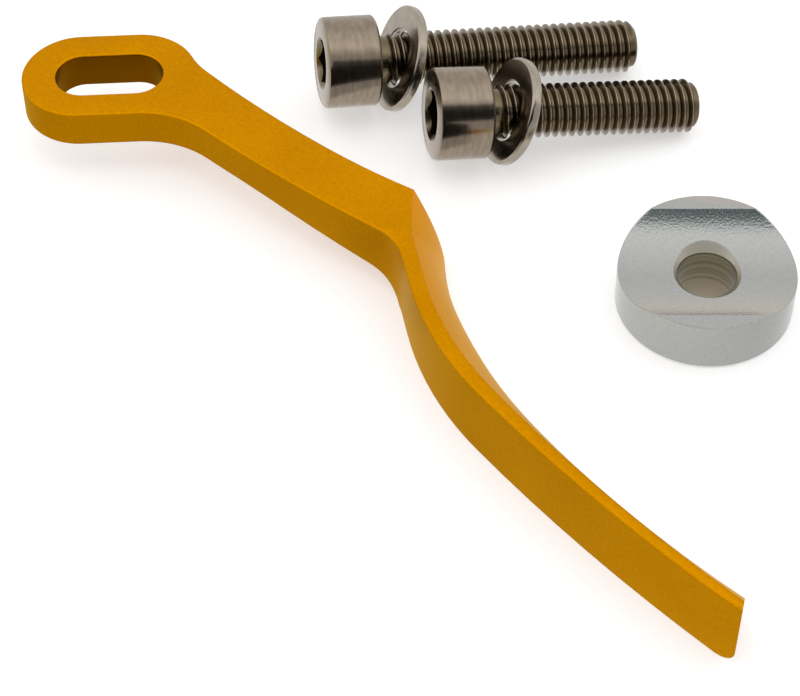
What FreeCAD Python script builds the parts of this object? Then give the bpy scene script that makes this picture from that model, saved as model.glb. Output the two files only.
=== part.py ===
import FreeCAD, Part
import math
import os

# Chain catcher for a bicycle, laid out as its set of loose pieces on a flat surface:
# a one-piece machined arm, a saddle spacer and two socket-head screws with washers.
# Millimetres. X runs along the arm's slot, Y away from the arm's tip, Z up from the surface.
# Courses and turns are degrees from +X, anticlockwise seen from above.

os.makedirs("parts", exist_ok=True)
V = FreeCAD.Vector
ORIGIN = V(0, 0, 0)
X_AXIS = V(1, 0, 0)
Y_AXIS = V(0, 1, 0)
Z_AXIS = V(0, 0, 1)

# Screws and washers, and the play that each hole leaves round a screw
THREAD_D = 5.0
HEAD_D = 8.5
HEAD_H = 5.0
HEAD_RIM = 0.4
HEAD_FOOT_BREAK = 0.2
HEX_ACROSS_FLATS = 4.0
HEX_DEPTH = 2.8
HEX_LEAD = 0.15
DRILL_POINT = 0.9
NECK_D = 4.48
NECK_UNDER_HEAD = 1.0
TIP_CHAMFER = 0.6
LONG_L = 25.0
SHORT_L = 20.0
WASHER_D = 10.0
WASHER_T = 1.0
WASHER_RIM = 0.25
WASHER_PLAY = 0.6
LEAN_PLAY = 0.3
SLOT_PLAY = 0.1
BORE_PLAY = 0.2

# Arm in section: thin head and shank, full depth at the blade
ARM_DEPTH = 7.41
PLATE_T = 3.66
RAMP_FROM_NECK = 1.92
RAMP_EASE = 4.81
RAMP_EASE_DROP = 0.34
STEP_RUN = 2.5
STEP_DROP = 1.35
STEP_TO_WALL = 0.15

# Arm's slotted head
HEAD_HALF_W = 5.29
HEAD_HALF_STRAIGHT = 2.69
HEAD_ROUND = 68.0
SLOT_HALF_STRAIGHT = 2.34

# Near side of the arm, walked from the head to the tip as chords: length and course of each
NECK_START = 2.5
NECK_L = 6.67
NECK_COURSE = -22.49
SHANK_L = 19.76
SHANK_COURSE = -41.47
INNER_BEND_L = 3.61
INNER_BEND_COURSE = -60.08
WALL_L = 2.71
BLADE_ROOT_L = 13.84
BLADE_ROOT_COURSE = -69.11
BLADE_L = 30.71
BLADE_COURSE = -50.91

# Far side of the neck and shank, measured across from the near side
NECK_W = 7.94
NECK_ACROSS_COURSE = 89.2
SHANK_W = 5.09
SHOULDER_W = 6.82
SHOULDER_RUN = 5.03
SHOULDER_COURSE = 151.4

# Blade: a narrow land along its top, and a sloped wall that spreads towards its foot
LAND_W_ROOT = 1.33
LAND_W_TIP = 0.82
LAND_STRAIGHT = 5.11
SPREAD_ROOT = 3.47
SPREAD_MIDDLE = 3.75
SPREAD_TIP = 4.25
CREASE_L = 11.16
CREASE_COURSE = 85.4
CREASE_SPREAD = 3.2
CREASE_BACK = 2.07
CREASE_FOOT_COURSE = -90.0
SLOPE_BULGE = 0.15
SLOPE_LEVELS = 4
TIP_TRIM = 1.38
TIP_CUT_TURN = -17.0
TIP_CORNER_R = 1.73
EDGE_BREAK = 0.25

# Saddle spacer
SPACER_D = 15.6
SPACER_H = 5.2
TROUGH_R = 14.3
TROUGH_DEPTH = 1.46
BORE_CHAMFER = 0.35
RIM_BREAK = 0.3

# Places of the pieces on the surface, and the turn of each
SLOT_AT = (-25.83, 26.86)
SPACER_AT = (26.01, 2.51)
SPACER_TURN = -3.4
LONG_AT = (-1.5, 29.83)
LONG_TURN = 7.6
SCREW_STAGGER = 8.6
SCREW_GAP = 1.3
SHORT_TURN = 7.1
WASHER_FROM_HEAD = 2.5

# Cutting tools reach this far past the arm, and this far through a face
ROOM = SHANK_L + BLADE_ROOT_L + BLADE_L
SPARE = 0.6


def go(start, length, course):
    """The point a length away from start on a course in the XY plane."""
    a = math.radians(course)
    return start + V(length * math.cos(a), length * math.sin(a), 0)


def line(a, b):
    return Part.LineSegment(a, b).toShape()


def bend(a, heading, b):
    """Arc in the XY plane from a, leaving at a heading, to b. Gives the edge and the heading at b."""
    chord = b - a
    course = math.atan2(chord.y, chord.x)
    half_turn = course - math.radians(heading)
    half_turn = math.atan2(math.sin(half_turn), math.cos(half_turn))
    sag = chord.Length / 2 * math.tan(half_turn / 2)
    middle = (a + b) * 0.5 + V(sag * math.sin(course), -sag * math.cos(course), 0)
    return Part.Arc(a, middle, b).toShape(), math.degrees(course + half_turn)


def prism(edges, direction):
    return Part.Face(Part.Wire(edges)).extrude(direction)


# The arm is drawn about its slot's centre with the top face at Z = 0.
# Near side: neck, shank, inner bend, then the blade's upright wall to the tip.
head_far = V(HEAD_HALF_STRAIGHT, HEAD_HALF_W, 0)
head_left_far = V(-HEAD_HALF_STRAIGHT, HEAD_HALF_W, 0)
head_left = V(-HEAD_HALF_STRAIGHT - HEAD_HALF_W, 0, 0)
head_left_near = V(-HEAD_HALF_STRAIGHT, -HEAD_HALF_W, 0)
neck_start = V(NECK_START, -HEAD_HALF_W, 0)
neck_end = go(neck_start, NECK_L, NECK_COURSE)
shank_end = go(neck_end, SHANK_L, SHANK_COURSE)
wall_start = go(shank_end, INNER_BEND_L, INNER_BEND_COURSE)

outline = [line(head_far, head_left_far)]
outline.append(Part.Arc(head_left_far, head_left, head_left_near).toShape())
outline.append(line(head_left_near, neck_start))
edge, heading = bend(neck_start, 0, neck_end)
outline.append(edge)
edge, heading = bend(neck_end, heading, shank_end)
outline.append(edge)
edge, wall_course = bend(shank_end, heading, wall_start)
outline.append(edge)
wall_bend = go(wall_start, WALL_L, wall_course)
wall_middle = go(wall_bend, BLADE_ROOT_L, BLADE_ROOT_COURSE)
wall_end = go(wall_middle, BLADE_L, BLADE_COURSE)
outline.append(line(wall_start, wall_bend))
edge, middle_course = bend(wall_bend, wall_course, wall_middle)
outline.append(edge)
edge, end_course = bend(wall_middle, middle_course, wall_end)
outline.append(edge)

# Far side of the shank, curving back up to the round right end of the head.
# The blade's right-hand side is left oversize here, and the sloped wall is cut after it.
shoulder = go(go(shank_end, SHOULDER_RUN, SHANK_COURSE), SHOULDER_W, SHANK_COURSE + 90)
shank_far = go(go(neck_end, SHANK_L / 2, SHANK_COURSE), SHANK_W, SHANK_COURSE + 90)
neck_far = go(neck_end, NECK_W, NECK_ACROSS_COURSE)
spare_tip = go(wall_end, LAND_W_TIP + SPREAD_TIP + SHOULDER_W, end_course + 90)
outline.append(line(wall_end, spare_tip))
outline.append(line(spare_tip, shoulder))
edge, heading = bend(shoulder, SHOULDER_COURSE, shank_far)
outline.append(edge)
edge, heading = bend(shank_far, heading, neck_far)
outline.append(edge)
round_centre = V(HEAD_HALF_STRAIGHT, 0, 0)
round_stop = go(round_centre, HEAD_HALF_W, 90 - HEAD_ROUND)
round_middle = go(round_centre, HEAD_HALF_W, 90 - HEAD_ROUND / 2)
edge, heading = bend(neck_far, heading, round_stop)
outline.append(edge)
outline.append(Part.Arc(round_stop, round_middle, head_far).toShape())
arm = prism(outline, V(0, 0, -ARM_DEPTH - SPARE))

# The top face's rim is broken all along the near side, the head and the shank's far side
rim = []
for edge in arm.Edges:
    beside_spare = min(v.Point.distanceToPoint(spare_tip) for v in edge.Vertexes) < SPARE
    if edge.BoundBox.ZMin > -SPARE and not beside_spare:
        rim.append(edge)
arm = arm.makeChamfer(EDGE_BREAK, rim)

# Sloped wall of the blade: a crease across the top face turns into the land's right-hand edge.
# Each corner of its plan moves outwards, going down, from its top place to its foot place,
# faster at first, so that the wall is a little rounded and almost upright at its foot.
root_share = BLADE_ROOT_L / (BLADE_ROOT_L + BLADE_L)
land_middle = LAND_W_ROOT + (LAND_W_TIP - LAND_W_ROOT) * root_share
slope_bend = go(wall_bend, LAND_W_ROOT, wall_course + 90)
slope_middle = go(wall_middle, land_middle, middle_course + 90)
slope_end = go(wall_end, LAND_W_TIP, end_course + 90)
crease_near = go(slope_bend, -LAND_STRAIGHT, wall_course)
crease_far = go(crease_near, CREASE_L, CREASE_COURSE)
crease_near_foot = crease_near + V(CREASE_SPREAD, CREASE_BACK, 0)
slope_corners = [
    (crease_far, V(crease_near_foot.x, crease_far.y, 0)),
    (crease_near, crease_near_foot),
    (slope_bend, go(slope_bend, SPREAD_ROOT, wall_course + 90)),
    (slope_middle, go(slope_middle, SPREAD_MIDDLE, middle_course + 90)),
    (slope_end, go(slope_end, SPREAD_TIP, end_course + 90)),
]


def slope_wire(z):
    """Plan of the space beyond the sloped wall at a height z."""
    depth = -z / ARM_DEPTH
    share = depth + 4 * SLOPE_BULGE * depth * (1 - depth)
    lift = V(0, 0, z)
    corners = [top + (foot - top) * share + lift for top, foot in slope_corners]
    heading = wall_course + (CREASE_FOOT_COURSE - wall_course) * share
    outer_near = corners[-1] + V(ROOM, 0, 0)
    outer_far = V(outer_near.x, corners[0].y, z)
    edges = [line(corners[0], corners[1])]
    for start, end in zip(corners[1:-1], corners[2:]):
        edge, heading = bend(start, heading, end)
        edges.append(edge)
    edges.append(line(corners[-1], outer_near))
    edges.append(line(outer_near, outer_far))
    edges.append(line(outer_far, corners[0]))
    return Part.Wire(edges)


slope_step = (ARM_DEPTH + 2 * SPARE) / SLOPE_LEVELS
levels = [slope_wire(SPARE - k * slope_step) for k in range(SLOPE_LEVELS + 1)]
beyond_slope = Part.makeLoft(levels, True)
arm = arm.cut(beyond_slope)

# Side profile: thin head and shank, a shallow ramp and a round step down to the blade's foot.
# It is drawn flat, with its height along Y, and then stood up.
left_end = head_left.x - SPARE
ramp_start = V(neck_end.x + RAMP_FROM_NECK, -PLATE_T, 0)
ramp_eased = ramp_start + V(RAMP_EASE, -RAMP_EASE_DROP, 0)
step_end = V(wall_start.x - STEP_TO_WALL, -ARM_DEPTH, 0)
step_start = V(step_end.x - STEP_RUN, -PLATE_T - STEP_DROP, 0)
side = [line(V(left_end, SPARE, 0), V(left_end, -PLATE_T, 0))]
side.append(line(V(left_end, -PLATE_T, 0), ramp_start))
edge, heading = bend(ramp_start, 0, ramp_eased)
side.append(edge)
side.append(line(ramp_eased, step_start))
edge, heading = bend(step_start, heading, step_end)
side.append(edge)
side.append(line(step_end, V(ROOM, -ARM_DEPTH, 0)))
side.append(line(V(ROOM, -ARM_DEPTH, 0), V(ROOM, SPARE, 0)))
side.append(line(V(ROOM, SPARE, 0), V(left_end, SPARE, 0)))
side_block = prism(side, V(0, 0, 2 * ROOM))
side_block.rotate(ORIGIN, X_AXIS, 90)
side_block.translate(V(0, ROOM, 0))
arm = arm.common(side_block)

# Square end of the blade, with its lower corner rounded
tip_at = go(wall_end, -TIP_TRIM, TIP_CUT_TURN)
tip_block = Part.makeBox(2 * ROOM, 2 * ROOM, ARM_DEPTH + SPARE, V(-2 * ROOM, -ROOM, -ARM_DEPTH))
lower_corner = [e for e in tip_block.Edges if e.BoundBox.XMin > -SPARE and e.BoundBox.ZMax < -SPARE]
tip_block = tip_block.makeFillet(TIP_CORNER_R, lower_corner)
tip_block.Placement = FreeCAD.Placement(tip_at, FreeCAD.Rotation(Z_AXIS, TIP_CUT_TURN))
arm = arm.common(tip_block)

# Slot for one screw, long enough to let the arm slide
slot_r = (THREAD_D + SLOT_PLAY) / 2
slot_half = SLOT_HALF_STRAIGHT
slot = [line(V(-slot_half, slot_r, SPARE), V(slot_half, slot_r, SPARE))]
for sign in (1, -1):
    far = V(sign * slot_half, sign * slot_r, SPARE)
    end = V(sign * (slot_half + slot_r), 0, SPARE)
    near = V(sign * slot_half, -sign * slot_r, SPARE)
    slot.append(Part.Arc(far, end, near).toShape())
slot.insert(2, line(V(slot_half, -slot_r, SPARE), V(-slot_half, -slot_r, SPARE)))
slot_tool = prism(slot, V(0, 0, -ARM_DEPTH - 2 * SPARE))
arm = arm.cut(slot_tool)
slot_room = slot_tool.BoundBox
slot_room.enlarge(EDGE_BREAK)
mouth = [e for e in arm.Edges if e.BoundBox.ZMin > -EDGE_BREAK / 2 and slot_room.isInside(e.CenterOfMass)]
arm = arm.makeChamfer(EDGE_BREAK, mouth)
arm = arm.Solids[0]
arm.translate(V(SLOT_AT[0], SLOT_AT[1], ARM_DEPTH))

# Saddle spacer: a thick disc with a shallow trough across its top that beds on a round tube
bore_r = (THREAD_D + BORE_PLAY) / 2
floor_z = SPACER_H - TROUGH_DEPTH
sink_r = bore_r + BORE_CHAMFER + SPARE
sink_h = BORE_CHAMFER + SPARE
spacer = Part.makeCylinder(SPACER_D / 2, SPACER_H)
spacer = spacer.makeChamfer(RIM_BREAK, [e for e in spacer.Edges if e.BoundBox.ZMax < SPARE])
trough = Part.makeCylinder(TROUGH_R, 2 * SPACER_D, V(-SPACER_D, 0, floor_z + TROUGH_R), X_AXIS)
bore = Part.makeCylinder(bore_r, 2 * SPACER_H, V(0, 0, -SPARE))
mouth = Part.makeCone(bore_r, sink_r, sink_h, V(0, 0, floor_z - BORE_CHAMFER))
under = Part.makeCone(sink_r, bore_r, sink_h, V(0, 0, -SPARE))
spacer = spacer.cut(trough).cut(bore).cut(mouth).cut(under)
spacer.rotate(ORIGIN, Z_AXIS, SPACER_TURN)
spacer.translate(V(SPACER_AT[0], SPACER_AT[1], 0))
spacer = spacer.Solids[0]


def socket_screw(length):
    """Socket-head cap screw along +X with the head's underside at X = 0."""
    r = THREAD_D / 2
    head_r = HEAD_D / 2
    neck_r = NECK_D / 2
    foot = HEAD_FOOT_BREAK
    corners = [
        V(-HEAD_H, 0, 0),
        V(-HEAD_H, head_r - HEAD_RIM, 0),
        V(-HEAD_H + HEAD_RIM, head_r, 0),
        V(-foot, head_r, 0),
        V(0, head_r - foot, 0),
        V(0, neck_r + foot, 0),
        V(foot, neck_r, 0),
        V(NECK_UNDER_HEAD, neck_r, 0),
        V(NECK_UNDER_HEAD + r - neck_r, r, 0),
        V(length - TIP_CHAMFER, r, 0),
        V(length, r - TIP_CHAMFER, 0),
        V(length, 0, 0),
    ]
    half = Part.Face(Part.makePolygon(corners + corners[:1]))
    screw = half.revolve(ORIGIN, X_AXIS, 360)
    corner_r = HEX_ACROSS_FLATS / math.sqrt(3)
    hexagon = []
    for k in range(7):
        a = math.radians(60 * k + 30)
        hexagon.append(V(-HEAD_H, corner_r * math.cos(a), corner_r * math.sin(a)))
    face = Part.Face(Part.makePolygon(hexagon))
    key = face.extrude(V(HEX_DEPTH, 0, 0))
    point = Part.makeCone(corner_r, 0, DRILL_POINT, V(-HEAD_H + HEX_DEPTH, 0, 0), X_AXIS)
    point = point.common(face.extrude(V(HEAD_H, 0, 0)))
    lead = Part.makeCone(corner_r + HEX_LEAD, 0, corner_r + HEX_LEAD, V(-HEAD_H, 0, 0), X_AXIS)
    return screw.cut(key.fuse(point)).cut(lead)


def flat_washer():
    """Washer about the X axis, centred on the origin, with its outer rims broken."""
    ring = Part.makeCylinder(WASHER_D / 2, WASHER_T, V(-WASHER_T / 2, 0, 0), X_AXIS)
    rims = [e for e in ring.Edges if e.BoundBox.XLength < WASHER_T / 2]
    ring = ring.makeChamfer(WASHER_RIM, rims)
    hole = Part.makeCylinder((THREAD_D + WASHER_PLAY) / 2, 2 * WASHER_T, V(-WASHER_T, 0, 0), X_AXIS)
    return ring.cut(hole)


# A washer is wider than the screw's head, so it props the screw up and leans until its hole binds.
# The screw then lies on the washer and on the edge of its own tip.
hole_d = THREAD_D + WASHER_PLAY
reach = math.hypot(hole_d, WASHER_T)
lean = math.degrees(math.acos(THREAD_D / reach) - math.atan(WASHER_T / hole_d)) - LEAN_PLAY


def lay_down(length, at, turn):
    """Screw and washer resting together on the surface, with the screw's underside of head over at."""
    r = THREAD_D / 2
    tip_rest = length - TIP_CHAMFER
    slope = 0.0
    for step in range(30):
        tilt = math.radians(lean) + slope
        centre_z = WASHER_D / 2 * math.cos(tilt) + (WASHER_T / 2 - WASHER_RIM) * math.sin(tilt)
        slope = math.asin((centre_z - r * math.cos(slope)) / (tip_rest - WASHER_FROM_HEAD))
    heading = FreeCAD.Rotation(Z_AXIS, turn)
    pitch = heading.multiply(FreeCAD.Rotation(Y_AXIS, math.degrees(slope)))
    start = V(at.x, at.y, r * math.cos(slope) + tip_rest * math.sin(slope))
    screw = socket_screw(length)
    screw.Placement = FreeCAD.Placement(start, pitch)
    tipped = heading.multiply(FreeCAD.Rotation(Y_AXIS, math.degrees(slope) + lean))
    washer = flat_washer()
    centre = start + pitch.multVec(X_AXIS) * WASHER_FROM_HEAD
    washer.Placement = FreeCAD.Placement(centre, tipped)
    return screw, washer


# The short screw lies beside the long one, its washer just clear of the long screw's thread
long_at = V(LONG_AT[0], LONG_AT[1], 0)
apart = (WASHER_D + THREAD_D) / 2 + SCREW_GAP
short_at = go(go(long_at, SCREW_STAGGER, LONG_TURN), -apart, LONG_TURN + 90)
long_bolt, long_washer = lay_down(LONG_L, long_at, LONG_TURN)
short_bolt, short_washer = lay_down(SHORT_L, short_at, SHORT_TURN)

arm.exportStep("parts/catcher_arm.step")
spacer.exportStep("parts/saddle_spacer.step")
long_bolt.exportStep("parts/long_bolt.step")
long_washer.exportStep("parts/long_bolt_washer.step")
short_bolt.exportStep("parts/short_bolt.step")
short_washer.exportStep("parts/short_bolt_washer.step")
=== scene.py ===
import math

import bmesh
import bpy
import numpy as np
from mathutils import Matrix, Vector


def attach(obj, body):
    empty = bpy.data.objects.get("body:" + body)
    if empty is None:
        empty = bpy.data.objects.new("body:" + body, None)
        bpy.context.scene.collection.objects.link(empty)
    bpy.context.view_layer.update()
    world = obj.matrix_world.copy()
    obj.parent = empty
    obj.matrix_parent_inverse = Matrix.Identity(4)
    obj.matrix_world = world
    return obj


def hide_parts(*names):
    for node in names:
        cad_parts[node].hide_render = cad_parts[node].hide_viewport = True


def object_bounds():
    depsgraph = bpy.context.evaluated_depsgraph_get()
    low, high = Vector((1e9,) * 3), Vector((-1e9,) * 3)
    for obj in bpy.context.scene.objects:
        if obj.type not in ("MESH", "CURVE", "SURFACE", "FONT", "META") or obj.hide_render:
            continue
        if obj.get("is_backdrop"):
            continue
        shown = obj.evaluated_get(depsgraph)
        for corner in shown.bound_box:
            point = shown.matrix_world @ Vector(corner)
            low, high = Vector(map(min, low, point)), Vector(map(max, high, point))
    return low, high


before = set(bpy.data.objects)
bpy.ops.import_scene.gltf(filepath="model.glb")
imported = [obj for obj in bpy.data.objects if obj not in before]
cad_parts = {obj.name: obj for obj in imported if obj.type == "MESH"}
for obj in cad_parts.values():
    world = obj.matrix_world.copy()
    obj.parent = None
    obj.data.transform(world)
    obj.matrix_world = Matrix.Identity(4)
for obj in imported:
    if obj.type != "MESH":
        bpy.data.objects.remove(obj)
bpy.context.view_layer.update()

# Catcher arm: one piece of aluminium, milled from plate, tumbled, blasted matt and anodised gold.
# A slotted head takes the screw, and a flat shank bends through a crease into the deep curved
# blade that keeps the chain off the frame.
MM = 0.001
GOLD = "D38D00"
GOLD_DEEP = "BC7B00"
GOLD_EDGE = "FFF6CC"
SLOT_SHADE_BROWN = "7C4A00"
SATIN = (0.36, 0.46)
BLAST_GRAIN = 0.22 * MM
BLAST_DEPTH = 0.02 * MM
BLAST_BUMP = 0.20
DYE_CLOUD = 7.0 * MM
DYE_SHARE = 0.4
DYE_RANGE = (0.40, 1.0)
SLOT_AT = Vector((-25.83, 26.86, 0)) * MM
SLOT_HALF_STRAIGHT = 2.34 * MM
SLOT_R = 2.55 * MM
JUST_PAST = 1.01
TUMBLED_EDGE = 0.2 * MM
TOP_WITHIN = 0.025 * MM
ROLLED = math.radians(47)
CRISP = math.radians(20)
WELD = 0.002 * MM


def linear(colour):
    """Linear RGBA of an sRGB hex colour."""
    made = []
    for k in (0, 2, 4):
        c = int(colour[k:k + 2], 16) / 255
        made.append(c / 12.92 if c <= 0.04045 else ((c + 0.055) / 1.055) ** 2.4)
    return (*made, 1.0)


def add(tree, kind, inputs=None, **settings):
    """Adds a node with its settings; an input is a value, or the socket that it comes from."""
    made = tree.nodes.new(kind)
    for name, value in settings.items():
        setattr(made, name, value)
    for name, value in (inputs or {}).items():
        if isinstance(value, bpy.types.NodeSocket):
            tree.links.new(value, made.inputs[name])
        else:
            made.inputs[name].default_value = value
    return made


def new_material(name):
    """An empty node material and its tree."""
    material = bpy.data.materials.new(name)
    material.use_nodes = True
    material.node_tree.nodes.clear()
    return material, material.node_tree


# Anodised aluminium: a dyed oxide skin on blasted metal, which gives a satin metal colour with
# no white highlight face on, a fine even grain, and a pale sheen where it is seen edge on.
# The blasted grain is finer than a picture shows, so it is drawn about three times too coarse.
anodised, tree = new_material("gold_anodised_aluminium")
place = add(tree, "ShaderNodeTexCoord").outputs["Object"]
grain = add(tree, "ShaderNodeTexNoise", {"Vector": place, "Scale": 1 / BLAST_GRAIN, "Detail": 2.0})
cloud = add(tree, "ShaderNodeTexNoise", {"Vector": place, "Scale": 1 / DYE_CLOUD, "Detail": 1.0})
both = add(tree, "ShaderNodeMath", {
    0: cloud.outputs["Fac"], 1: DYE_SHARE, 2: grain.outputs["Fac"]}, operation="MULTIPLY_ADD")
dye = add(tree, "ShaderNodeMapRange", {
    "Value": both.outputs["Value"], "From Min": DYE_RANGE[0], "From Max": DYE_RANGE[1]})
colour = add(tree, "ShaderNodeMix", {
    0: dye.outputs["Result"], 6: linear(GOLD_DEEP), 7: linear(GOLD)}, data_type="RGBA")
satin = add(tree, "ShaderNodeMapRange", {
    "Value": grain.outputs["Fac"], "To Min": SATIN[0], "To Max": SATIN[1]})
# Tumbling rounds every edge a little, also those that the solid leaves crisp
tumbled = add(tree, "ShaderNodeBevel", {"Radius": TUMBLED_EDGE}, samples=8)
pits = add(tree, "ShaderNodeBump", {
    "Height": grain.outputs["Fac"], "Strength": BLAST_BUMP, "Distance": BLAST_DEPTH,
    "Normal": tumbled.outputs["Normal"]})
# Painted shade: the slot's own wall, within its radius of the slot's middle line, is painted dark brown
off = add(tree, "ShaderNodeVectorMath", {0: place, 1: SLOT_AT}, operation="SUBTRACT")
from_left = add(tree, "ShaderNodeVectorMath", {
    0: off.outputs[0], 1: (-SLOT_HALF_STRAIGHT, 0, -1)}, operation="MAXIMUM")
nearest = add(tree, "ShaderNodeVectorMath", {
    0: from_left.outputs[0], 1: (SLOT_HALF_STRAIGHT, 0, 1)}, operation="MINIMUM")
away = add(tree, "ShaderNodeVectorMath", {0: off.outputs[0], 1: nearest.outputs[0]}, operation="DISTANCE")
in_slot_shade = add(tree, "ShaderNodeMath", {0: away.outputs["Value"], 1: SLOT_R * JUST_PAST}, operation="LESS_THAN")
dye_with_slot_shade = add(tree, "ShaderNodeMix", {
    0: in_slot_shade.outputs["Value"], 6: colour.outputs[2], 7: linear(SLOT_SHADE_BROWN)}, data_type="RGBA")
shader = add(tree, "ShaderNodeBsdfPrincipled", {
    "Base Color": dye_with_slot_shade.outputs[2], "Metallic": 1.0, "Roughness": satin.outputs["Result"],
    "Specular Tint": linear(GOLD_EDGE), "Normal": pits.outputs["Normal"]})
add(tree, "ShaderNodeOutputMaterial", {"Surface": shader.outputs["BSDF"]})

# The solid's own mesh, welded into one skin. Its broken rim rolls off the flat top, as tumbling
# leaves it, the flats stay flat, and the crease, the blade's far edge and the underside keep a line.
bm = bmesh.new()
bm.from_mesh(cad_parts["catcher_arm"].data)
bmesh.ops.remove_doubles(bm, verts=bm.verts, dist=WELD)
bm.normal_update()
for face in bm.faces:
    face.smooth = True
top = max(v.co.z for v in bm.verts)
for edge in bm.edges:
    on_top = min(v.co.z for v in edge.verts) > top - TOP_WITHIN
    edge.smooth = edge.calc_face_angle(0) < (ROLLED if on_top else CRISP)
mesh = bpy.data.meshes.new("anodised_arm")
bm.to_mesh(mesh)
bm.free()
if "custom_normal" in mesh.attributes:
    mesh.attributes.remove(mesh.attributes["custom_normal"])
mesh.materials.append(anodised)
arm = bpy.data.objects.new("anodised_arm", mesh)
bpy.context.scene.collection.objects.link(arm)
flats = arm.modifiers.new("flats_stay_flat", "WEIGHTED_NORMAL")
flats.keep_sharp = True
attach(arm, "root")
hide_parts("catcher_arm")

# Saddle spacer: a turned aluminium disc with a round trough milled across its top, to bed on the
# frame tube, and a countersunk bore for the screw. It is left bright, with its edges just broken.
BARE = "ACADAA"
BARE_DULL = "A6A7A4"
SUNK = "ABA79A"
BORE_WALL_SHADE = "867D66"
BORE_WALL_SHADE_RING = "5E5744"
NOISE_MIDDLE = (0.3, 0.7)
MILL_LINE = 0.12 * MM
MILL_STRETCH = (0.06, 1.0, 1.0)
MILL_DEPTH = 0.01 * MM
MILL_BUMP = 0.25
MILLED_ROUGH = (0.10, 0.20)
DRILLED_ROUGH = 0.45
MOTTLE = 0.3 * MM
DRILL_RING = 0.4 * MM
EDGE_BREAK = 0.15 * MM
CHATTER = 0.2 * MM
CHATTER_DEPTH = 0.02 * MM
CHATTER_BUMP = 0.65
SPACER_AT = Vector((26.01, 2.51, 0)) * MM
BORE_R = 2.6 * MM
SUNK_R = 3.6 * MM
STEEP_BELOW = 0.85

# Bare aluminium: a cool grey, bright and almost mirror-like, with fine mill lines along the trough
# and a faint chatter and mottle that break up what it mirrors. The bore's wall is painted darker and
# warmer, as painted shade, with the drill's rings round it.
bright, tree = new_material("turned_aluminium")
coordinates = add(tree, "ShaderNodeTexCoord")
place = coordinates.outputs["Object"]
stretch = add(tree, "ShaderNodeMapping", {"Vector": place, "Scale": MILL_STRETCH})
lines = add(tree, "ShaderNodeTexNoise", {
    "Vector": stretch.outputs["Vector"], "Scale": 1 / MILL_LINE, "Detail": 3.0})
chatter = add(tree, "ShaderNodeTexNoise", {"Vector": place, "Scale": 1 / CHATTER, "Detail": 2.0})
# The broken edges are too small for the solid, and show as a thin line
broken = add(tree, "ShaderNodeBevel", {"Radius": EDGE_BREAK}, samples=8)
waves = add(tree, "ShaderNodeBump", {
    "Height": chatter.outputs["Fac"], "Strength": CHATTER_BUMP, "Distance": CHATTER_DEPTH,
    "Normal": broken.outputs["Normal"]})
marks = add(tree, "ShaderNodeBump", {
    "Height": lines.outputs["Fac"], "Strength": MILL_BUMP, "Distance": MILL_DEPTH,
    "Normal": waves.outputs["Normal"]})
off = add(tree, "ShaderNodeVectorMath", {0: place, 1: SPACER_AT}, operation="SUBTRACT")
flat = add(tree, "ShaderNodeVectorMath", {0: off.outputs[0], 1: (1, 1, 0)}, operation="MULTIPLY")
away = add(tree, "ShaderNodeVectorMath", {0: flat.outputs[0]}, operation="LENGTH")
near = add(tree, "ShaderNodeMath", {0: away.outputs["Value"], 1: SUNK_R}, operation="LESS_THAN")
facing = add(tree, "ShaderNodeSeparateXYZ", {"Vector": coordinates.outputs["Normal"]})
steep = add(tree, "ShaderNodeMath", {0: facing.outputs["Z"], 1: STEEP_BELOW}, operation="LESS_THAN")
drilled = add(tree, "ShaderNodeMath", {0: near.outputs[0], 1: steep.outputs[0]}, operation="MULTIPLY")
deep = add(tree, "ShaderNodeMath", {0: away.outputs["Value"], 1: BORE_R * JUST_PAST}, operation="LESS_THAN")
height = add(tree, "ShaderNodeSeparateXYZ", {"Vector": place})
rings = add(tree, "ShaderNodeTexNoise", {
    "W": height.outputs["Z"], "Scale": 1 / DRILL_RING, "Detail": 2.0}, noise_dimensions="1D")
ringed = add(tree, "ShaderNodeMapRange", {
    "Value": rings.outputs["Fac"], "From Min": NOISE_MIDDLE[0], "From Max": NOISE_MIDDLE[1]})
# Painted shade: the bore's wall is painted a darker, warmer grey, with the drill's rings in it
shaded_bore_wall = add(tree, "ShaderNodeMix", {
    0: ringed.outputs["Result"], 6: linear(BORE_WALL_SHADE_RING), 7: linear(BORE_WALL_SHADE)}, data_type="RGBA")
hole = add(tree, "ShaderNodeMix", {0: deep.outputs[0], 6: linear(SUNK), 7: shaded_bore_wall.outputs[2]}, data_type="RGBA")
mottle = add(tree, "ShaderNodeTexNoise", {"Vector": place, "Scale": 1 / MOTTLE, "Detail": 3.0})
mottled = add(tree, "ShaderNodeMapRange", {
    "Value": mottle.outputs["Fac"], "From Min": NOISE_MIDDLE[0], "From Max": NOISE_MIDDLE[1]})
skin = add(tree, "ShaderNodeMix", {
    0: mottled.outputs["Result"], 6: linear(BARE_DULL), 7: linear(BARE)}, data_type="RGBA")
colour = add(tree, "ShaderNodeMix", {
    0: drilled.outputs[0], 6: skin.outputs[2], 7: hole.outputs[2]}, data_type="RGBA")
sheen = add(tree, "ShaderNodeMapRange", {
    "Value": lines.outputs["Fac"], "To Min": MILLED_ROUGH[0], "To Max": MILLED_ROUGH[1]})
rough = add(tree, "ShaderNodeMix", {0: drilled.outputs[0], 2: sheen.outputs["Result"], 3: DRILLED_ROUGH})
shader = add(tree, "ShaderNodeBsdfPrincipled", {
    "Base Color": colour.outputs[2], "Metallic": 1.0, "Roughness": rough.outputs[0],
    "Normal": marks.outputs["Normal"]})
add(tree, "ShaderNodeOutputMaterial", {"Surface": shader.outputs["BSDF"]})
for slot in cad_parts["saddle_spacer"].material_slots:
    slot.material = bright

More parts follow.
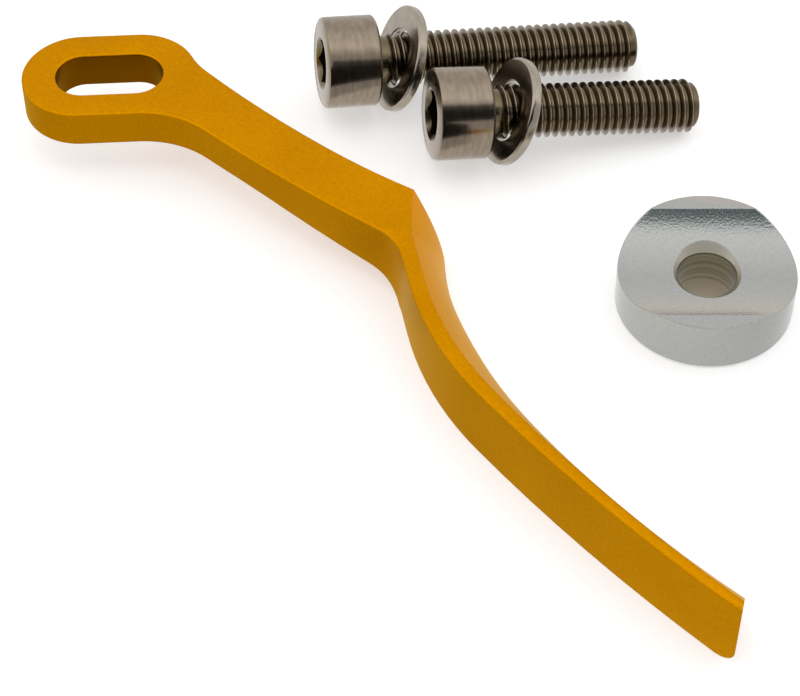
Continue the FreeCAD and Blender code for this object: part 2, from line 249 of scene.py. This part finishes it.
# Screws: M5 socket-head cap screws of stainless steel, forged heads with a pressed hexagon and a
# rolled thread that runs out below a short plain neck. Each lies on its tip and on its washer.
# Sizes are plain millimetres, with the widest ones a hair under those of the solids they stand for.
STEEL = "948677"
STEEL_DULL = "847769"
THREAD_ROOT_SHADE = "695E48"
HEAD_D = 8.49
HEAD_H = 5.0
HEAD_RIM = 0.4
HEAD_RIM_MIDDLE = 0.3 * HEAD_RIM
HEAD_FOOT_BREAK = 0.2
HEX_ACROSS_FLATS = 4.0
HEX_DEPTH = 2.8
HEX_LEAD = 0.15
HEX_LEAD_RING = 0.2
DRILL_POINT = 0.9
THREAD_D = 4.97
ROOT_D = 4.04
PITCH = 0.8
ROOT_END = 0.25 * PITCH
CREST_START = 0.56 * PITCH
CREST_END = 0.69 * PITCH
NECK_D = 4.48
NECK_UNDER_HEAD = 1.0
THREAD_STARTS = 0.5
RUNOUT_SLOPE = 0.35
TIP_CHAMFER = 0.6
STEPS = 72
NEAR = 0.01
SHARP = math.radians(32)
TURNED_RING = 1 / 6
RING_DEPTH = 0.01 * MM
RING_BUMP = 0.04
STREAK = 1.25
STREAK_STRETCH = (3.0, 0.9, 0.9)
STREAK_RANGE = (0.35, 0.65)
STEEL_ROUGH = (0.17, 0.25)
ROOT_SHADE_R = 2.2
ROOT_SHADE_ENDS_R = 2.48


# Stainless steel: a dull silver with a warm cast, with fine rings from turning that follow the
# piece's own axis, and streaked the same way where it was pickled. Its attribute local_mm holds
# each point's place along and around that axis in millimetres.
def stainless(name, colour, dull, dark):
    """Steel with painted shade close to its axis, where a screw's thread roots and socket lie, and its own
    two shades farther out.
    """
    material, tree = new_material(name)
    local = add(tree, "ShaderNodeAttribute", attribute_name="local_mm").outputs["Vector"]
    along = add(tree, "ShaderNodeSeparateXYZ", {"Vector": local})
    across = add(tree, "ShaderNodeVectorMath", {0: local, 1: (0, 1, 1)}, operation="MULTIPLY")
    radius = add(tree, "ShaderNodeVectorMath", {0: across.outputs[0]}, operation="LENGTH")
    ring = add(tree, "ShaderNodeMath", {0: along.outputs["X"], 1: radius.outputs["Value"]}, operation="ADD")
    turned = add(tree, "ShaderNodeTexNoise", {
        "W": ring.outputs["Value"], "Scale": 1 / TURNED_RING, "Detail": 3.0}, noise_dimensions="1D")
    around = add(tree, "ShaderNodeVectorMath", {0: local, 1: STREAK_STRETCH}, operation="MULTIPLY")
    streak = add(tree, "ShaderNodeTexNoise", {
        "Vector": around.outputs[0], "Scale": 1 / STREAK, "Detail": 5.0})
    rough = add(tree, "ShaderNodeMapRange", {
        "Value": streak.outputs["Fac"], "To Min": STEEL_ROUGH[0], "To Max": STEEL_ROUGH[1]})
    worn = add(tree, "ShaderNodeMapRange", {
        "Value": streak.outputs["Fac"], "From Min": STREAK_RANGE[0], "From Max": STREAK_RANGE[1]})
    steel = add(tree, "ShaderNodeMix", {
        0: worn.outputs["Result"], 6: linear(dull), 7: linear(colour)}, data_type="RGBA")
    # Painted shade darkens the thread's roots and the socket, near the axis, and the crests keep the steel's
    # own shades
    out_of_root_shade = add(tree, "ShaderNodeMapRange", {
        "Value": radius.outputs["Value"], "From Min": ROOT_SHADE_R, "From Max": ROOT_SHADE_ENDS_R})
    tone = add(tree, "ShaderNodeMix", {
        0: out_of_root_shade.outputs["Result"], 6: linear(dark), 7: steel.outputs[2]}, data_type="RGBA")
    scratch = add(tree, "ShaderNodeBump", {
        "Height": turned.outputs["Fac"], "Strength": RING_BUMP, "Distance": RING_DEPTH})
    shader = add(tree, "ShaderNodeBsdfPrincipled", {
        "Base Color": tone.outputs[2], "Metallic": 1.0, "Roughness": rough.outputs["Result"],
        "Normal": scratch.outputs["Normal"]})
    add(tree, "ShaderNodeOutputMaterial", {"Surface": shader.outputs["BSDF"]})
    return material


def turned_axis(node, spread):
    """Centre and axis of a turned node, read from its points: axis 0 is its longest, 2 its shortest."""
    points = {tuple(round(c, 6) for c in v.co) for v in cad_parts[node].data.vertices}
    cloud = np.array(sorted(points))
    middle = cloud.mean(0)
    axis = np.linalg.svd(cloud - middle, full_matrices=False)[2][spread]
    axis = axis if axis[0] > 0 else -axis
    along = (cloud - middle) @ axis
    return Vector(middle), Vector(axis), float(along.min()), float(along.max())


def chain(bm, points):
    """Vertices joined into one open line."""
    made = [bm.verts.new(p) for p in points]
    edges = [bm.edges.new(pair) for pair in zip(made, made[1:])]
    return made + edges


def shade(bm):
    """Smooth faces with the real edges left sharp."""
    bmesh.ops.recalc_face_normals(bm, faces=bm.faces)
    for face in bm.faces:
        face.smooth = True
    for edge in bm.edges:
        edge.smooth = edge.calc_face_angle(0) < SHARP


def put(bm, name, start, axis, node, material):
    """Places a piece that was turned along +X in millimetres, and lets it stand for its solid."""
    mesh = bpy.data.meshes.new(name)
    bm.to_mesh(mesh)
    bm.free()
    local = mesh.attributes.new("local_mm", "FLOAT_VECTOR", "POINT")
    local.data.foreach_set("vector", [c for v in mesh.vertices for c in v.co])
    turn = axis.to_track_quat("X", "Z").to_matrix().to_4x4()
    mesh.transform(Matrix.Translation(start) @ turn @ Matrix.Scale(MM, 4))
    mesh.materials.append(material)
    piece = bpy.data.objects.new(name, mesh)
    bpy.context.scene.collection.objects.link(piece)
    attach(piece, "root")
    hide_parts(node)


def screw_mesh(length):
    """Cap screw along +X, with its head's underside at X = 0."""
    bm = bmesh.new()
    crest, root, neck = THREAD_D / 2, ROOT_D / 2, NECK_D / 2
    turns = math.ceil((length + 2 * PITCH) / PITCH)
    teeth = []
    for k in range(turns + 1):
        x = (k - 1) * PITCH
        teeth += [(x, root, 0), (x + ROOT_END, root, 0)]
        teeth += [(x + CREST_START, crest, 0), (x + CREST_END, crest, 0)]
    bmesh.ops.spin(bm, geom=chain(bm, teeth), cent=(0, 0, 0), axis=(1, 0, 0), dvec=(PITCH / STEPS, 0, 0),
                   angle=2 * math.pi, steps=STEPS)
    bmesh.ops.remove_doubles(bm, verts=bm.verts, dist=WELD / MM)
    for x, way in ((THREAD_STARTS, -1), (length, 1)):
        everything = bm.verts[:] + bm.edges[:] + bm.faces[:]
        bmesh.ops.bisect_plane(bm, geom=everything, plane_co=(x, 0, 0), plane_no=(way, 0, 0),
                               clear_outer=True)
    # The thread fades out into the neck, and a cone breaks its first turns at the tip
    for v in bm.verts:
        r = math.hypot(v.co.y, v.co.z)
        rise = max(0.0, v.co.x - NECK_UNDER_HEAD)
        high = min(crest, neck + rise, crest - TIP_CHAMFER + (length - v.co.x))
        low = min(max(root, neck - RUNOUT_SLOPE * rise), high)
        v.co.yz = v.co.yz * (min(max(r, low), high) / r)
    tip_rim = [e for e in bm.edges if e.is_boundary and e.verts[0].co.x > length - NEAR]
    bmesh.ops.edgenet_fill(bm, edges=tip_rim)

    # Head: turned outside, with the pressed hexagon's ring of points moved onto its flats
    head_r, flat_r = HEAD_D / 2, HEX_ACROSS_FLATS / 2
    lead_r = flat_r / math.cos(math.pi / 6) + HEX_LEAD
    bottom = -HEAD_H + HEX_DEPTH
    profile = [
        (HEAD_FOOT_BREAK, neck), (0, neck + HEAD_FOOT_BREAK),
        (0, head_r - HEAD_FOOT_BREAK), (-HEAD_FOOT_BREAK, head_r),
        (-HEAD_H + HEAD_RIM, head_r), (-HEAD_H + HEAD_RIM_MIDDLE, head_r - HEAD_RIM_MIDDLE),
        (-HEAD_H, head_r - HEAD_RIM), (-HEAD_H, lead_r),
        (-HEAD_H + HEX_LEAD_RING, flat_r), (bottom, flat_r), (bottom + DRILL_POINT, 0)]
    bmesh.ops.spin(bm, geom=chain(bm, [(x, r, 0) for x, r in profile]), cent=(0, 0, 0), axis=(1, 0, 0),
                   angle=2 * math.pi, steps=STEPS, use_merge=True)
    bmesh.ops.remove_doubles(bm, verts=bm.verts, dist=WELD / MM)
    for v in bm.verts:
        r = math.hypot(v.co.y, v.co.z)
        if v.co.x < bottom + NEAR and NEAR < r < flat_r + NEAR:
            off_flat = (math.atan2(v.co.z, v.co.y) + math.pi / 6) % (math.pi / 3) - math.pi / 6
            v.co.yz = v.co.yz * (flat_r / math.cos(off_flat) / r)
            if v.co.x < -HEAD_H + HEX_LEAD_RING + NEAR:
                v.co.x = -HEAD_H + lead_r - flat_r / math.cos(off_flat)
    bmesh.ops.bridge_loops(bm, edges=[e for e in bm.edges if e.is_boundary])
    shade(bm)
    return bm


screw_steel = stainless("stainless_screw_steel", STEEL, STEEL_DULL, THREAD_ROOT_SHADE)
for name, node in (("long_screw", "long_bolt"), ("short_screw", "short_bolt")):
    middle, axis, low, high = turned_axis(node, 0)
    length = (high - low) / MM - HEAD_H
    under_head = middle + axis * (low + HEAD_H * MM)
    put(screw_mesh(length), name, under_head, axis, node, screw_steel)

# Washers: punched from stainless sheet and tumbled bright, so that all their rims are round.
# Each hangs loose on its screw and leans as far as its hole lets it.
WASHER_STEEL = "A59C8F"
WASHER_DULL = "968D80"
WASHER_D = 9.98
WASHER_HOLE_D = 5.6
WASHER_T = 1.0
WASHER_RIM = 0.3
HOLE_RIM = 0.12
RIM_STEPS = 5


def washer_mesh():
    """Washer about the X axis, centred on the origin."""
    bm = bmesh.new()
    out, hole, side = WASHER_D / 2, WASHER_HOLE_D / 2, WASHER_T / 2
    ring = chain(bm, [(-side, hole, 0), (-side, out, 0), (side, out, 0), (side, hole, 0)])
    bm.edges.new((ring[3], ring[0]))
    ring = bm.verts[:] + bm.edges[:]
    bmesh.ops.spin(bm, geom=ring, cent=(0, 0, 0), axis=(1, 0, 0), angle=2 * math.pi, steps=STEPS,
                   use_merge=True)
    bmesh.ops.remove_doubles(bm, verts=bm.verts, dist=WELD / MM)
    for at, size in ((out, WASHER_RIM), (hole, HOLE_RIM)):
        rims = [e for e in bm.edges
                if all(abs(math.hypot(v.co.y, v.co.z) - at) < NEAR for v in e.verts)
                and abs(e.verts[0].co.x - e.verts[1].co.x) < NEAR]
        bmesh.ops.bevel(bm, geom=rims, offset=size, offset_type="OFFSET", affect="EDGES",
                        segments=RIM_STEPS, profile=0.5, material=-1)
    shade(bm)
    return bm


washer_steel = stainless("stainless_washer_steel", WASHER_STEEL, WASHER_DULL, WASHER_DULL)
for name, node in (("long_screw_washer", "long_bolt_washer"), ("short_screw_washer", "short_bolt_washer")):
    middle, axis, _, _ = turned_axis(node, 2)
    put(washer_mesh(), name, middle, axis, node, washer_steel)

# Sweep: a sheet of white paper to lie on, which the camera sees overexposed. Only the patch at the
# bottom of the spacer's bore stays in the shade. In the metal it shows less bright, and unevenly.
PAPER = "DCDCDC"
PAPER_BORE_SHADE = "C2B7A2"
IN_BORE_R = 1.6 * BORE_R
SWEEP_R = 3.0
SWEEP_STEPS = 96
OVEREXPOSED = (0.45, 0.45, 0.45, 1.0)
MIRRORED = ((-5, (0.70, 0.71, 0.25)), (9, (1.10, 1.09, 1.06)), (22, (0.92, 0.92, 0.92)))
MIRRORED_ALONG = (0.8, 0.6, 0)
BEND_CORNER = Vector((-7, 3, 0)) * MM
CORNER_REACH = (1 * MM, 7 * MM)
CORNER_SHADE = 0.70
TOWARDS_TIP = (-10 * MM, -36 * MM)
TIP_LIFT = 1.2
bm = bmesh.new()
bmesh.ops.create_circle(bm, cap_ends=True, radius=SWEEP_R, segments=SWEEP_STEPS)
mesh = bpy.data.meshes.new("sweep")
bm.to_mesh(mesh)
bm.free()
sweep = bpy.data.objects.new("sweep", mesh)
bpy.context.scene.collection.objects.link(sweep)
sweep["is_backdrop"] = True
paper, tree = new_material("white_paper")
place = add(tree, "ShaderNodeTexCoord").outputs["Object"]
path = add(tree, "ShaderNodeLightPath")
bore = add(tree, "ShaderNodeVectorMath", {0: place, 1: SPACER_AT}, operation="DISTANCE")
outside = add(tree, "ShaderNodeMath", {0: bore.outputs["Value"], 1: IN_BORE_R}, operation="GREATER_THAN")
# Painted shade: inside the bore the paper is painted a darker, warmer grey
paper_with_bore_shade = add(tree, "ShaderNodeMix", {
    0: outside.outputs[0], 6: linear(PAPER_BORE_SHADE), 7: linear(PAPER)}, data_type="RGBA")
shaded = add(tree, "ShaderNodeBsdfDiffuse", {"Color": paper_with_bore_shade.outputs[2]})
seen = add(tree, "ShaderNodeMath", {
    0: path.outputs["Is Camera Ray"], 1: outside.outputs[0]}, operation="MULTIPLY")
lift = add(tree, "ShaderNodeEmission", {"Color": OVEREXPOSED, "Strength": seen.outputs[0]})
lit = add(tree, "ShaderNodeAddShader", {0: shaded.outputs["BSDF"], 1: lift.outputs["Emission"]})
# As the metal mirrors it, the paper is dim and warm in front of the arm, brightest behind the bend,
# shaded in the bend's inner corner, and lighter again towards the tip
across = add(tree, "ShaderNodeVectorMath", {0: place, 1: MIRRORED_ALONG}, operation="DOT_PRODUCT")
first, last = MIRRORED[0][0], MIRRORED[-1][0]
passed = add(tree, "ShaderNodeMapRange", {
    "Value": across.outputs["Value"], "From Min": first * MM, "From Max": last * MM})
ramp = add(tree, "ShaderNodeValToRGB", {"Fac": passed.outputs["Result"]})
ramp.color_ramp.elements.new(0.5)
for stop, (at, shown) in zip(ramp.color_ramp.elements, MIRRORED):
    stop.position = (at - first) / (last - first)
    stop.color = (*shown, 1.0)
corner = add(tree, "ShaderNodeVectorMath", {0: place, 1: BEND_CORNER}, operation="DISTANCE")
unshaded = add(tree, "ShaderNodeMapRange", {
    "Value": corner.outputs["Value"], "From Min": CORNER_REACH[0], "From Max": CORNER_REACH[1],
    "To Min": CORNER_SHADE, "To Max": 1.0})
spot = add(tree, "ShaderNodeSeparateXYZ", {"Vector": place})
forward = add(tree, "ShaderNodeMapRange", {
    "Value": spot.outputs["Y"], "From Min": TOWARDS_TIP[0], "From Max": TOWARDS_TIP[1],
    "To Min": 1.0, "To Max": TIP_LIFT})
brightness = add(tree, "ShaderNodeMath", {
    0: unshaded.outputs["Result"], 1: forward.outputs["Result"]}, operation="MULTIPLY")
mirrored = add(tree, "ShaderNodeEmission", {
    "Color": ramp.outputs["Color"], "Strength": brightness.outputs[0]})
shader = add(tree, "ShaderNodeMixShader", {
    0: path.outputs["Is Glossy Ray"], 1: lit.outputs[0], 2: mirrored.outputs[0]})
add(tree, "ShaderNodeOutputMaterial", {"Surface": shader.outputs["Shader"]})
mesh.materials.append(paper)

# Light tent: soft white light from all round, a little dimmer low down in front and brightest
# overhead, which shapes the round metal and leaves the flats even.
TENT = ((0, 0.65), (60, 0.70), (80, 1.55), (100, 1.30), (135, 0.98), (180, 1.05))
world = bpy.data.worlds.new("light_tent")
bpy.context.scene.world = world
world.use_nodes = True
tree = world.node_tree
tree.nodes.clear()
way = add(tree, "ShaderNodeSeparateXYZ", {"Vector": add(tree, "ShaderNodeTexCoord").outputs["Generated"]})
front = add(tree, "ShaderNodeMath", {0: way.outputs["Y"], 1: -1.0}, operation="MULTIPLY")
arc = add(tree, "ShaderNodeMath", {0: way.outputs["Z"], 1: front.outputs["Value"]}, operation="ARCTAN2")
half_turn = add(tree, "ShaderNodeMath", {0: arc.outputs["Value"], 1: math.pi}, operation="DIVIDE")
# Brightness along the arc from the front horizon, over the top, to the back horizon
ramp = add(tree, "ShaderNodeValToRGB", {"Fac": half_turn.outputs["Value"]})
stops = ramp.color_ramp.elements  # two of them to begin with
for k, (angle, _) in enumerate(TENT):
    stop = stops[k] if k < 2 else stops.new(angle / 180)
    stop.position = angle / 180
for stop, (_, bright_there) in zip(stops, TENT):
    stop.color = (bright_there, bright_there, bright_there, 1.0)
light = add(tree, "ShaderNodeBackground", {"Color": ramp.outputs["Color"], "Strength": 1.0})
white = add(tree, "ShaderNodeBackground", {"Color": (1.0, 1.0, 1.0, 1.0), "Strength": 1.0})
in_picture = add(tree, "ShaderNodeLightPath").outputs["Is Camera Ray"]
backdrop = add(tree, "ShaderNodeMixShader", {
    0: in_picture, 1: light.outputs["Background"], 2: white.outputs["Background"]})
add(tree, "ShaderNodeOutputWorld", {"Surface": backdrop.outputs["Shader"]})

# Reflection cards: a dark one over the spacer, which its trough mirrors as a band, a low one that
# keeps the gold arm out of the screws' heads, a shade hung above it that puts a dark band along
# them, and a white one that keeps the screws out of the arm's sloped wall and of the trough.
# Only reflections show them, and only on the side they face.
UPRIGHT = Matrix.Rotation(math.radians(90), 4, "X")
FACING_DOWN = Matrix.Rotation(math.radians(180), 4, "X")


def card(name, width, height, at, turn, colours, strength=1.0):
    """A flat card, centred on at, whose colour changes halfway up."""
    bm = bmesh.new()
    shape = Matrix.Translation(at) @ turn @ Matrix.Diagonal((width, height, 1, 1))
    bmesh.ops.create_grid(bm, x_segments=1, y_segments=2, size=0.5, matrix=shape)
    for index, face in enumerate(bm.faces):
        face.material_index = index
    mesh = bpy.data.meshes.new(name)
    bm.to_mesh(mesh)
    bm.free()
    for half in colours:
        board, tree = new_material(name)
        behind = add(tree, "ShaderNodeNewGeometry").outputs["Backfacing"]
        glow = add(tree, "ShaderNodeEmission", {"Color": linear(half), "Strength": strength})
        clear = add(tree, "ShaderNodeBsdfTransparent")
        one_sided = add(tree, "ShaderNodeMixShader", {0: behind, 1: glow.outputs[0], 2: clear.outputs[0]})
        add(tree, "ShaderNodeOutputMaterial", {"Surface": one_sided.outputs["Shader"]})
        mesh.materials.append(board)
    made = bpy.data.objects.new(name, mesh)
    made.visible_camera = False
    made.visible_diffuse = False
    made.visible_shadow = False
    made.visible_transmission = False
    bpy.context.scene.collection.objects.link(made)
    made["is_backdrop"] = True


LOW_CARD_TURN = math.radians(141)
SHADE_CARD_TURN = math.radians(180)
BOUNCE_CARD_TURN = math.radians(-10)
card("dark_card", width=22 * MM, height=6.8 * MM, at=Vector((31, 6.0, 34)) * MM,
     turn=FACING_DOWN, colours=("7A8C90", "3A484C"))
card("low_card", width=27 * MM, height=10 * MM, at=Vector((-2.5, 18.5, 5)) * MM,
     turn=Matrix.Rotation(LOW_CARD_TURN, 4, "Z") @ UPRIGHT, colours=("D0D0D0", "202020"))
card("shade_card", width=25 * MM, height=12 * MM, at=Vector((3, 13, 16)) * MM,
     turn=Matrix.Rotation(SHADE_CARD_TURN, 4, "Z") @ UPRIGHT, colours=("282828", "505050"))
card("bounce_card", width=48 * MM, height=8.6 * MM, at=Vector((21, 14, 4.3)) * MM,
     turn=Matrix.Rotation(BOUNCE_CARD_TURN, 4, "Z") @ UPRIGHT, colours=("FFF4EC", "FFF4EC"), strength=1.15)

# Camera: a long lens that looks down on the set from in front of the arm's tip.
FOCAL_PIXELS = 2500
PICTURE_WIDTH = 800
CAMERA_AT = Vector((-9.29, -142.04, 163.85)) * MM
CAMERA_DOWN = 49.3
CAMERA_TURN = -3.4
SENSOR_WIDTH = 36.0
NEAREST_SEEN = 10 * MM
lens = bpy.data.cameras.new("camera")
lens.sensor_width = SENSOR_WIDTH
lens.lens = SENSOR_WIDTH * FOCAL_PIXELS / PICTURE_WIDTH
lens.clip_start = NEAREST_SEEN
camera = bpy.data.objects.new("camera", lens)
camera.location = CAMERA_AT
camera.rotation_euler = (math.radians(90 - CAMERA_DOWN), 0, math.radians(CAMERA_TURN))
bpy.context.scene.collection.objects.link(camera)
bpy.context.scene.camera = camera
bpy.context.scene.view_settings.view_transform = "Standard"

low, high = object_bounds()
